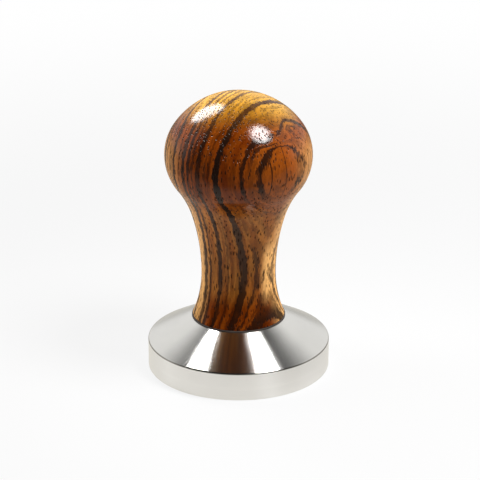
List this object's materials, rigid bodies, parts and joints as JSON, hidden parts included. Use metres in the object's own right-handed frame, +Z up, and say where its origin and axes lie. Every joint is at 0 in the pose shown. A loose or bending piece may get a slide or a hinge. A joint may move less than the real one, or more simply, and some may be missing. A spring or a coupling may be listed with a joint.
{
  "type": "espresso tamper",
  "caption": "Hand tamper for ground coffee: a flat round steel base with a cone on top, and a turned hardwood handle with a mushroom knob that screws onto it.",
  "frame": {"origin": "centre of the tamping face, which is the part's lowest face", "axes": "+Z runs up the axis of the base and the handle; the part is round, so X and Y have no set direction"},
  "size_m": [0.058, 0.058, 0.0908],
  "materials": {
    "base_steel": "fine-turned stainless steel: satin rim, brighter cone with tool marks that run round",
    "stud_steel": "dark zinc-free alloy steel set screw, dull",
    "insert_brass": "machined brass, plain",
    "handle_wood": "golden-brown hardwood with dark brown stripes and open pores, clear gloss finish",
    "washer_rubber": "black, matt"
  },
  "bodies": {
    "base": {"base": "base_steel", "stud": "stud_steel"},
    "seat_washer": {"seat_washer": "washer_rubber"},
    "handle": {"handle": "handle_wood", "threaded_insert": "insert_brass"}
  },
  "joints": [
    {"name": "handle_turn", "type": "hinge", "parent": "base", "child": "seat_washer", "pos_m": [0, 0, 0.0167], "axis": [0, 0, 1], "range_deg": [0, 3240]},
    {"name": "handle_rise", "type": "slide", "parent": "seat_washer", "child": "handle", "axis": [0, 0, 1], "range_m": [0, 0.01125]}
  ],
  "couplings": [
    {"joint": "handle_rise", "follows": "handle_turn", "m_per_rad": 0.00019894}
  ]
}
